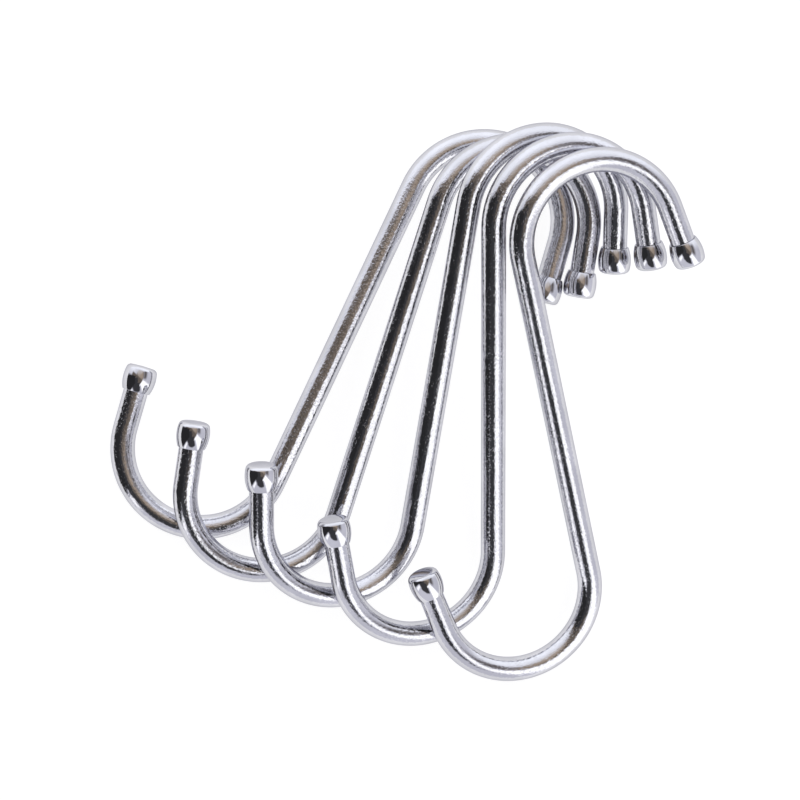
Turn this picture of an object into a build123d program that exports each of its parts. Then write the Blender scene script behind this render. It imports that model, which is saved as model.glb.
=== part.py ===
from build123d import *
import os

# Five identical S-hooks of plated round wire, fanned out in a pile on a table.
# Every hook is three pieces: a bent wire, and a round cap pressed on each of its ends.
# Units are millimetres. +Z is up and the table is the plane z = 0. +Y points from the
# hooks' lower bends to their upper bends, and the fan opens towards -X. The origin is
# on the table, under the middle of the pile.

# The wire, along its centreline: a straight shank with a bend at each end, and a
# straight stem after each bend. Half a turn about the shank's middle gives the same S.
wire_diameter = 4.0
shank_length = 53.5
bend_radius = 12.9
bend_angle = 170.7
stem_length = 6.0

# The cap: a barrel, widest about halfway along, with a closed end that is rounded at
# its edge and slightly domed
cap_length = 4.3
cap_neck_diameter = 4.5
cap_diameter = 5.4
cap_widest_at = 2.2
cap_end_diameter = 4.8
cap_edge_rounding = 0.8
cap_dome = 0.15
cap_bore_depth = 3.0

# How the hooks lie, from the bottom of the pile to the top. A place is the middle of
# the hook's shank. A hook is turned in the fan about its own normal, and that normal
# is tipped about the table's X and then about its own Y, because the hook leans on
# the one beneath it while its lower bend comes down to the table.
hook_places = [
    (-10.2, 10.2, 2.82),
    (-2.8, 6.5, 5.93),
    (5.5, 5.5, 7.98),
    (14.2, 1.8, 9.17),
    (24.5, -2.0, 10.28),
]
hook_tips = [(1.75, 0.5), (8.9, 8.9), (12.6, 15.4), (12.0, 14.2), (11.2, 11.6)]
fan_turns = [-22.8, -15.2, -6.7, 3.7, 15.9]


def write(piece, name):
    """Name the finished piece and write its file."""
    piece.part.label = name
    export_step(piece.part, f"parts/{name}.step")


def make_wire(name, bed):
    """Sweep one hook's wire on its bed plane, and return its upper and lower stems."""
    stem_in_cap = stem_length + cap_bore_depth
    half_shank = (0, shank_length / 2)
    with BuildPart() as wire:
        with BuildLine(bed) as route:
            shank = Line((0, -shank_length / 2), half_shank)
            upper_bend = JernArc(shank @ 1, shank % 1, bend_radius, -bend_angle)
            upper_stem = Line(upper_bend @ 1, upper_bend @ 1 + (upper_bend % 1) * stem_in_cap)
            lower_bend = JernArc(shank @ 0, -(shank % 0), bend_radius, -bend_angle)
            lower_stem = Line(lower_bend @ 1, lower_bend @ 1 + (lower_bend % 1) * stem_in_cap)
        path = route.wire()
        with BuildSketch(Plane(origin=path @ 0, z_dir=path % 0)):
            Circle(wire_diameter / 2)
        sweep(path=path)
    write(wire, name)
    return upper_stem, lower_stem


def make_cap(name, stem, normal):
    """Turn the cap that closes over the end of a stem, with a blind bore for the wire."""
    outward = stem % 1
    neck = stem @ 1 - outward * cap_bore_depth
    end_radius = cap_end_diameter / 2
    dome_radius = (end_radius**2 + cap_dome**2) / (2 * cap_dome)
    with BuildPart() as cap:
        with BuildSketch(Plane(origin=neck, x_dir=outward, z_dir=normal)) as half_section:
            with BuildLine():
                neck_corner = (0, cap_neck_diameter / 2)
                end_corner = (cap_length - cap_dome, end_radius)
                tip = (cap_length, 0)
                bore_mouth = (0, wire_diameter / 2)
                bore_corner = (cap_bore_depth, wire_diameter / 2)
                ThreePointArc(neck_corner, (cap_widest_at, cap_diameter / 2), end_corner)
                RadiusArc(end_corner, tip, dome_radius)
                Polyline(tip, (cap_bore_depth, 0), bore_corner, bore_mouth, neck_corner)
            make_face()
            outer_edge = half_section.vertices().sort_by(lambda corner: corner.X + corner.Y)[-1]
            fillet(outer_edge, cap_edge_rounding)
        revolve(axis=Axis(neck, outward))
    write(cap, name)


os.makedirs("parts", exist_ok=True)
for number, place in enumerate(hook_places, start=1):
    tip_x, tip_y = hook_tips[number - 1]
    bed = Plane(Location(place, (tip_x, tip_y, fan_turns[number - 1])))
    upper_stem, lower_stem = make_wire(f"hook_{number}_wire", bed)
    make_cap(f"hook_{number}_upper_cap", upper_stem, bed.z_dir)
    make_cap(f"hook_{number}_lower_cap", lower_stem, bed.z_dir)
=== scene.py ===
import math

import bpy
from mathutils import Matrix, Vector


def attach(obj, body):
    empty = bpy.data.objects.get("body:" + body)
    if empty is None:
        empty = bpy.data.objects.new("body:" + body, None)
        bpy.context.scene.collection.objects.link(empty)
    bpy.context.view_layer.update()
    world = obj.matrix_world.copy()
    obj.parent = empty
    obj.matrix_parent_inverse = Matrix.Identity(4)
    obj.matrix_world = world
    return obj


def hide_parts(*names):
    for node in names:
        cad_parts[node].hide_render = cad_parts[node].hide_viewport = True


# Five S-hooks of chrome-plated round wire, fanned out in a pile on a white table. Each
# hook is a bent wire with a round cap pressed on each of its ends. Lengths are metres.

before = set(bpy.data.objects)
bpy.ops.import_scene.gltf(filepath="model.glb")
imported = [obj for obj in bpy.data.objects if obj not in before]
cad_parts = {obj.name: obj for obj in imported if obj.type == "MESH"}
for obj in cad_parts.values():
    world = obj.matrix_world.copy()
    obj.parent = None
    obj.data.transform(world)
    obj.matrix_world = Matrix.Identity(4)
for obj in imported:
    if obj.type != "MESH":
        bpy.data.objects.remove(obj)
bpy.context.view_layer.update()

MM = 0.001

# The hook, as in the CAD model: the wire's centreline is a straight shank, a bend at
# each end and a straight stem after each bend.
WIRE_RADIUS = 2.0 * MM
SHANK = 53.5 * MM
BEND_RADIUS = 12.9 * MM
BEND_ANGLE = math.radians(170.7)
STEM = 6.0 * MM

CAP_LENGTH = 4.3 * MM
CAP_NECK_RADIUS = 2.25 * MM
CAP_RADIUS = 2.7 * MM
CAP_WIDEST_AT = 2.2 * MM
CAP_END_RADIUS = 2.4 * MM
CAP_EDGE_ROUNDING = 0.8 * MM
CAP_DOME = 0.15 * MM
CAP_BORE = 3.0 * MM
CAP_LIP_ROUNDING = 0.09 * MM

# Where each hook lies: the middle of its shank, and its turns about X, Y and its normal
HOOKS = {
    "hook_1": ((-10.2, 10.2, 2.82), (1.75, 0.5, -22.8)),
    "hook_2": ((-2.8, 6.5, 5.93), (8.9, 8.9, -15.2)),
    "hook_3": ((5.5, 5.5, 7.98), (12.6, 15.4, -6.7)),
    "hook_4": ((14.2, 1.8, 9.17), (12.0, 14.2, 3.7)),
    "hook_5": ((24.5, -2.0, 10.28), (11.2, 11.6, 15.9)),
}

# How finely the meshes are divided: round the wire and the caps, along half a wire, and
# along a cap's outline
WIRE_SIDES = 72
CAP_SIDES = 96
SHANK_STEPS = 12
BEND_STEPS = 84
STEM_STEPS = 4
LIP_STEPS = 8
SWELL_STEPS = 40
EDGE_STEPS = 20
DOME_STEPS = 8

# The neck's flat end has a point this close to the bore's mouth, so that it shades as flat
MOUTH_TO_POINT = 0.01 * MM
# The dome stops this turn in radians short of the axis, where a last face closes it
DOME_HOLE = 0.003

# The plating's relief: how deep it is, and how far apart its bumps lie. The pits and the
# rubbed relief are cut from one noise, and the grooves are drawn out along the wire.
PIT_DEPTH = 0.012 * MM
RUB_DEPTH = 0.0058 * MM
GROOVE_DEPTH = 0.0012 * MM
PEEL_DEPTH = 0.006 * MM
PIT_GRAIN = 0.24 * MM
GROOVE_GRAIN = 0.14 * MM
PEEL_GRAIN = 1.2 * MM
PATCH_GRAIN = 3 * MM
GROOVE_STRETCH = 60

# Between which values of their noise, which lies round 0.5, these come in: the rubbed
# relief, the pits, the patches that have pits, and the patches that aren't dull
RUBBED_BETWEEN = (0.4, 0.6)
PITS_BETWEEN = (0.62, 0.72)
PITTED_BETWEEN = (0.3, 0.6)
SHINY_BETWEEN = (0.35, 0.7)

# The colour of chrome, its dull patches' share of it, its tint near the outline, its
# roughness where it's shiniest, and the most that a patch adds to that
CHROME = (0.69, 0.69, 0.73)
DULL_SHARE = 0.88
EDGE_TINT = (0.6, 0.6, 0.64)
ROUGHNESS = 0.01
ROUGHNESS_IN_PATCHES = 0.02

# Every piece shows its own stretch of the finish. A hook's starts this many metres along
# it from the last hook's, and its caps' start this much further on.
WIRE_SHIFT = 0.37
UPPER_CAP_SHIFT = 0.11
LOWER_CAP_SHIFT = 0.23


def place_of(hook):
    """The matrix from a hook's own plane, shank up Y, to where the hook lies."""
    place, turns = HOOKS[hook]
    turn_x, turn_y, turn_z = (math.radians(angle) for angle in turns)
    turned = (
        Matrix.Rotation(turn_x, 4, "X")
        @ Matrix.Rotation(turn_y, 4, "Y")
        @ Matrix.Rotation(turn_z, 4, "Z")
    )
    return Matrix.Translation(Vector(place) * MM) @ turned


# ---------------------------------------------------------------- meshes


def half_centreline():
    """(distance, point, heading) along half a wire, from the shank's middle to the end of
    the wire in the bore of its cap."""
    steps = []
    for step in range(SHANK_STEPS + 1):
        along = SHANK / 2 * step / SHANK_STEPS
        steps.append((along, Vector((0, along, 0)), Vector((0, 1, 0))))
    for step in range(1, BEND_STEPS + 1):
        turn = BEND_ANGLE * step / BEND_STEPS
        point = Vector((BEND_RADIUS * (1 - math.cos(turn)), SHANK / 2 + BEND_RADIUS * math.sin(turn), 0))
        heading = Vector((math.sin(turn), math.cos(turn), 0))
        steps.append((SHANK / 2 + BEND_RADIUS * turn, point, heading))
    bend_end, corner, heading = steps[-1]
    for step in range(1, STEM_STEPS + 1):
        along = (STEM + CAP_BORE) * step / STEM_STEPS
        steps.append((bend_end + along, corner + heading * along, heading))
    return steps


def whole_centreline():
    """The whole wire, from the lower end to the upper one. Half a turn gives its other half."""
    upper = half_centreline()
    lower = [(-s, -p, h) for s, p, h in upper[1:]]
    return lower[::-1] + upper


def ring_mesh(name, rings):
    """A smooth closed mesh through rings of (points, flat points). Flat points are where each
    point would lie on a straight wire or an upright cap, which the finish is drawn on."""
    sides = len(rings[0][0])
    points = [point for ring, _ in rings for point in ring]
    flat = [point for _, ring in rings for point in ring]
    faces = []
    for row in range(len(rings) - 1):
        for side in range(sides):
            a = row * sides + side
            b = row * sides + (side + 1) % sides
            faces.append((a, a + sides, b + sides, b))
    faces.append(tuple(range(sides)))
    faces.append(tuple(reversed(range(len(points) - sides, len(points)))))
    mesh = bpy.data.meshes.new(name)
    mesh.from_pydata(points, [], faces)
    mesh.shade_smooth()
    straight = mesh.attributes.new("straight", "FLOAT_VECTOR", "POINT")
    for index, point in enumerate(flat):
        straight.data[index].vector = point
    mesh.update()
    return mesh


def add_piece(name, mesh, hook, material):
    """Put a mesh in the scene where its hook lies, in place of the CAD node it details."""
    mesh.transform(place_of(hook))
    piece = bpy.data.objects.new(name + "_plated", mesh)
    bpy.context.scene.collection.objects.link(piece)
    mesh.materials.append(material)
    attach(piece, hook)
    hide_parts(name)


def wire_mesh(name, shift):
    """The bent wire: round rings along its centreline."""
    normal = Vector((0, 0, 1))
    rings = []
    for distance, point, heading in whole_centreline():
        side = heading.cross(normal)
        ring, flat = [], []
        for step in range(WIRE_SIDES):
            angle = 2 * math.pi * step / WIRE_SIDES
            across, up = WIRE_RADIUS * math.cos(angle), WIRE_RADIUS * math.sin(angle)
            ring.append(point + side * across + normal * up)
            flat.append(Vector((distance + shift, across, up)))
        rings.append((ring, flat))
    return ring_mesh(name, rings)


def arc_centre(a, b, c):
    """The centre of the circle through three points of a plane."""
    d = 2 * (a[0] * (b[1] - c[1]) + b[0] * (c[1] - a[1]) + c[0] * (a[1] - b[1]))
    aa, bb, cc = (p[0] ** 2 + p[1] ** 2 for p in (a, b, c))
    x = (aa * (b[1] - c[1]) + bb * (c[1] - a[1]) + cc * (a[1] - b[1])) / d
    y = (aa * (c[0] - b[0]) + bb * (a[0] - c[0]) + cc * (b[0] - a[0])) / d
    return x, y


def cap_outline():
    """(distance from the neck, radius) points round half a cap's section: its bore, its
    neck and lip, its swell, its rounded edge and its domed end."""
    end_x = CAP_LENGTH - CAP_DOME
    swell_x, swell_r = arc_centre((0, CAP_NECK_RADIUS), (CAP_WIDEST_AT, CAP_RADIUS), (end_x, CAP_END_RADIUS))
    swell = math.hypot(swell_x, CAP_NECK_RADIUS - swell_r)
    dome = (CAP_END_RADIUS**2 + CAP_DOME**2) / (2 * CAP_DOME)

    def touching(x, rounding):
        """Where a rounding's centre lies to touch the swell from inside, and the turn there."""
        r = swell_r + math.sqrt((swell - rounding) ** 2 - (x - swell_x) ** 2)
        return r, math.atan2(x - swell_x, r - swell_r)

    lip_r, swell_start = touching(CAP_LIP_ROUNDING, CAP_LIP_ROUNDING)
    # The edge's rounding touches the swell and the dome. Each pass comes closer to both.
    edge_x = end_x - CAP_EDGE_ROUNDING
    for _ in range(8):
        edge_r, swell_end = touching(edge_x, CAP_EDGE_ROUNDING)
        edge_x = CAP_LENGTH - dome + math.sqrt((dome - CAP_EDGE_ROUNDING) ** 2 - edge_r**2)
    dome_edge = math.asin(edge_r / (dome - CAP_EDGE_ROUNDING))
    dome_start = math.pi / 2 - dome_edge
    # Arcs, each as its centre's distance and radius, its own radius, its turns and steps
    runs = [
        (CAP_LIP_ROUNDING, lip_r, CAP_LIP_ROUNDING, -math.pi / 2, swell_start, LIP_STEPS),
        (swell_x, swell_r, swell, swell_start, swell_end, SWELL_STEPS),
        (edge_x, edge_r, CAP_EDGE_ROUNDING, swell_end, dome_start, EDGE_STEPS),
        (CAP_LENGTH - dome, 0.0, dome, dome_start, math.pi / 2 - DOME_HOLE, DOME_STEPS),
    ]
    bore = [(CAP_BORE, WIRE_RADIUS), (0.0, WIRE_RADIUS)]
    outline = bore + [(0.0, WIRE_RADIUS + MOUTH_TO_POINT), (0.0, lip_r)]
    for centre_x, centre_r, radius, start, end, steps in runs:
        for step in range(1, steps + 1):
            turn = start + (end - start) * step / steps
            outline.append((centre_x + radius * math.sin(turn), centre_r + radius * math.cos(turn)))
    return outline


def cap_mesh(name, upper, shift):
    """A cap, turned about the stem of the upper or lower end of a hook."""
    _, point, heading = half_centreline()[-1]
    neck = point - heading * CAP_BORE
    if not upper:
        neck, heading = -neck, -heading
    normal = Vector((0, 0, 1))
    side = heading.cross(normal)
    rings = []
    for along, radius in cap_outline():
        ring, flat = [], []
        for step in range(CAP_SIDES):
            angle = 2 * math.pi * step / CAP_SIDES
            across, up = radius * math.cos(angle), radius * math.sin(angle)
            ring.append(neck + heading * along + side * across + normal * up)
            flat.append(Vector((along + shift, across, up)))
        rings.append((ring, flat))
    return ring_mesh(name, rings)


# ---------------------------------------------------------------- materials


def math_node(tree, operation, *values):
    """A Math node. A value is a number or another node's output."""
    node = tree.nodes.new("ShaderNodeMath")
    node.operation = operation
    for socket, value in zip(node.inputs, values):
        if isinstance(value, (int, float)):
            socket.default_value = value
        else:
            tree.links.new(value, socket)
    return node.outputs["Value"]


def step_node(tree, value, start, end, low=0.0, high=1.0):
    """low at start, high at end, and smooth between them."""
    node = tree.nodes.new("ShaderNodeMapRange")
    node.interpolation_type = "SMOOTHSTEP"
    tree.links.new(value, node.inputs["Value"])
    for socket, number in (("From Min", start), ("From Max", end), ("To Min", low), ("To Max", high)):
        node.inputs[socket].default_value = number
    return node.outputs["Result"]


def mix_node(tree, share, first, second):
    """A colour between first and second. Each is a colour or another node's output."""
    node = tree.nodes.new("ShaderNodeMix")
    node.data_type = "RGBA"
    for socket, value in ((node.inputs[0], share), (node.inputs[6], first), (node.inputs[7], second)):
        if isinstance(value, bpy.types.NodeSocket):
            tree.links.new(value, socket)
        elif isinstance(value, tuple):
            socket.default_value = (*value, 1)
        else:
            socket.default_value = value
    return node.outputs[2]


def noise_node(tree, vector, grain, detail):
    """Noise with a grain of that size in metres."""
    node = tree.nodes.new("ShaderNodeTexNoise")
    node.inputs["Scale"].default_value = 1 / grain
    node.inputs["Detail"].default_value = detail
    tree.links.new(vector, node.inputs["Vector"])
    return node.outputs["Fac"]


def chrome(name, pitting, stretch):
    """Bright chrome plate: pits and rubbed relief drawn out along the piece, fine drawing
    grooves, a faint orange peel, and patches where the shine is duller."""
    material = bpy.data.materials.new(name)
    material.use_nodes = True
    tree = material.node_tree
    shader = tree.nodes["Principled BSDF"]

    straight = tree.nodes.new("ShaderNodeAttribute")
    straight.attribute_name = "straight"

    def drawn(factor):
        """The place on the piece, with whatever is drawn there longer by that factor."""
        node = tree.nodes.new("ShaderNodeMapping")
        node.inputs["Scale"].default_value = (1 / factor, 1, 1)
        tree.links.new(straight.outputs["Vector"], node.inputs["Vector"])
        return node.outputs["Vector"]

    grain = noise_node(tree, drawn(stretch), PIT_GRAIN, detail=1)
    patches = noise_node(tree, drawn(stretch), PATCH_GRAIN, detail=3)
    groove = noise_node(tree, drawn(GROOVE_STRETCH), GROOVE_GRAIN, detail=1)
    peel = noise_node(tree, straight.outputs["Vector"], PEEL_GRAIN, detail=1)
    rubbed = step_node(tree, grain, *RUBBED_BETWEEN)
    pitted = step_node(tree, patches, *PITTED_BETWEEN)
    pits = math_node(tree, "MULTIPLY", step_node(tree, grain, *PITS_BETWEEN), pitted)

    dull = tuple(channel * DULL_SHARE for channel in CHROME)
    colour = mix_node(tree, step_node(tree, patches, *SHINY_BETWEEN), dull, CHROME)
    tree.links.new(colour, shader.inputs["Base Color"])
    shader.inputs["Metallic"].default_value = 1
    shader.inputs["Specular Tint"].default_value = (*EDGE_TINT, 1)
    rough = math_node(tree, "MULTIPLY_ADD", patches, ROUGHNESS_IN_PATCHES, ROUGHNESS)
    tree.links.new(rough, shader.inputs["Roughness"])

    height = math_node(tree, "MULTIPLY", pits, -PIT_DEPTH * pitting)
    height = math_node(tree, "MULTIPLY_ADD", rubbed, RUB_DEPTH * pitting, height)
    height = math_node(tree, "MULTIPLY_ADD", groove, GROOVE_DEPTH * pitting, height)
    height = math_node(tree, "MULTIPLY_ADD", peel, PEEL_DEPTH, height)
    bump = tree.nodes.new("ShaderNodeBump")
    bump.inputs["Strength"].default_value = 1
    bump.inputs["Distance"].default_value = 1
    tree.links.new(height, bump.inputs["Height"])
    tree.links.new(bump.outputs["Normal"], shader.inputs["Normal"])
    return material


# ---------------------------------------------------------------- studio

LAVENDER = (0.76, 0.76, 0.84)
WHITE = (1.65, 1.65, 1.65)
PALE = (1.3, 1.33, 1.4)
BROWN = (0.18, 0.15, 0.125)
GREY = (0.48, 0.39, 0.31)
UMBER = (0.09, 0.072, 0.06)
SMOKE = (0.055, 0.055, 0.06)
BLACK = (0.03, 0.03, 0.032)

# The studio around the table: a pale lavender dome with big soft shapes on it, each over
# those before it. A shape is (colour, share, the bearings it stands between, the angles
# from straight up it reaches between, softness of its sides, softness of its top and
# bottom). Angles are in degrees, and a bearing is counted from +X towards +Y.
STUDIO = [
    (PALE, 1.0, (25, 156), (46, 110), 14, 18),
    (BROWN, 1.0, (-180, 180), (-30, 27), 1, 3),
    (GREY, 1.0, (-22, 145), (-25, 27), 20, 8),
    (PALE, 0.45, (45, 140), (15, 60), 20, 15),
    (SMOKE, 1.0, (-124, -66), (18, 53), 5, 3),
    (WHITE, 0.8, (-70, -40), (27, 33), 4, 2),
    (WHITE, 1.0, (-56, -24), (28, 110), 3, 5),
    (SMOKE, 1.0, (-185, -112), (10, 49), 8, 5),
    (UMBER, 0.9, (-14, 32), (28, 50), 8, 10),
    (BROWN, 1.0, (153, 172), (10, 58), 4, 4),
    (BLACK, 1.0, (165, 217), (27, 110), 3, 4),
    (WHITE, 0.9, (-140, -131), (52, 80), 3, 5),
]


def band_node(tree, angle, between, softness):
    """1 where an angle in radians lies between two in degrees, and 0 well outside them."""
    middle, half_width = sum(between) / 2, abs(between[1] - between[0]) / 2
    turned = math_node(tree, "SUBTRACT", angle, math.radians(middle))
    aside = math_node(tree, "ABSOLUTE", math_node(tree, "WRAP", turned, math.pi, -math.pi))
    return step_node(tree, aside, math.radians(half_width + softness), math.radians(half_width - softness))


def paint_studio():
    """The dome that the chrome mirrors. Behind the table the camera sees plain white."""
    world = bpy.data.worlds.new("studio")
    bpy.context.scene.world = world
    world.use_nodes = True
    tree = world.node_tree
    tree.nodes.clear()
    direction = tree.nodes.new("ShaderNodeTexCoord")
    split = tree.nodes.new("ShaderNodeSeparateXYZ")
    tree.links.new(direction.outputs["Generated"], split.inputs[0])
    x, y, z = split.outputs
    bearing = math_node(tree, "ARCTAN2", y, x)
    tilt = math_node(tree, "ARCCOSINE", z)
    colour = LAVENDER
    for paint, share, bearings, heights, side_soft, end_soft in STUDIO:
        side = band_node(tree, bearing, bearings, side_soft)
        end = band_node(tree, tilt, heights, end_soft)
        mask = math_node(tree, "MULTIPLY", math_node(tree, "MULTIPLY", side, end), share)
        colour = mix_node(tree, mask, colour, paint)
    seen = tree.nodes.new("ShaderNodeBackground")
    tree.links.new(colour, seen.inputs["Color"])
    plain = tree.nodes.new("ShaderNodeBackground")
    plain.inputs["Color"].default_value = (1, 1, 1, 1)
    path = tree.nodes.new("ShaderNodeLightPath")
    both = tree.nodes.new("ShaderNodeMixShader")
    output = tree.nodes.new("ShaderNodeOutputWorld")
    tree.links.new(path.outputs["Is Camera Ray"], both.inputs[0])
    tree.links.new(seen.outputs[0], both.inputs[1])
    tree.links.new(plain.outputs[0], both.inputs[2])
    tree.links.new(both.outputs[0], output.inputs["Surface"])


def lay_table():
    """A white table that glows like a light table, so that it shows as plain white."""
    half = 3.0
    mesh = bpy.data.meshes.new("table")
    corners = [(-half, -half, 0), (half, -half, 0), (half, half, 0), (-half, half, 0)]
    mesh.from_pydata(corners, [], [(0, 1, 2, 3)])
    table = bpy.data.objects.new("table", mesh)
    bpy.context.scene.collection.objects.link(table)
    material = bpy.data.materials.new("table")
    material.use_nodes = True
    shader = material.node_tree.nodes["Principled BSDF"]
    shader.inputs["Base Color"].default_value = (0.3, 0.3, 0.3, 1)
    shader.inputs["Roughness"].default_value = 0.9
    shader.inputs["Specular IOR Level"].default_value = 0
    shader.inputs["Emission Color"].default_value = (1, 1, 1, 1)
    shader.inputs["Emission Strength"].default_value = 0.86
    mesh.materials.append(material)


def set_camera():
    """A long lens almost straight above the pile."""
    eye = Vector((-25.52, 4.55, 416.11)) * MM
    ahead = Vector((0.0605, -0.0114, -0.9981)).normalized()
    up = Vector((-0.043, 0.999, -0.014))
    right = ahead.cross(up).normalized()
    up = right.cross(ahead)
    data = bpy.data.cameras.new("camera")
    data.lens = 113.7
    data.sensor_width = 36
    data.clip_start = 0.01
    camera = bpy.data.objects.new("camera", data)
    bpy.context.scene.collection.objects.link(camera)
    axes = Matrix((right, up, -ahead)).transposed().to_4x4()
    camera.matrix_world = Matrix.Translation(eye) @ axes
    bpy.context.scene.camera = camera


# The caps were turned and polished, so they have little of the wire's pitting
wire_chrome = chrome("wire chrome", pitting=1.0, stretch=1.8)
cap_chrome = chrome("cap chrome", pitting=0.12, stretch=1.0)

for number, hook in enumerate(HOOKS, start=1):
    shift = number * WIRE_SHIFT
    add_piece(f"{hook}_wire", wire_mesh(f"{hook}_wire_plated", shift), hook, wire_chrome)
    for end, cap_shift in (("upper", UPPER_CAP_SHIFT), ("lower", LOWER_CAP_SHIFT)):
        name = f"{hook}_{end}_cap"
        mesh = cap_mesh(name + "_plated", end == "upper", shift + cap_shift)
        add_piece(name, mesh, hook, cap_chrome)

paint_studio()
lay_table()
set_camera()
bpy.context.scene.view_settings.view_transform = "Standard"

bpy.context.view_layer.update()
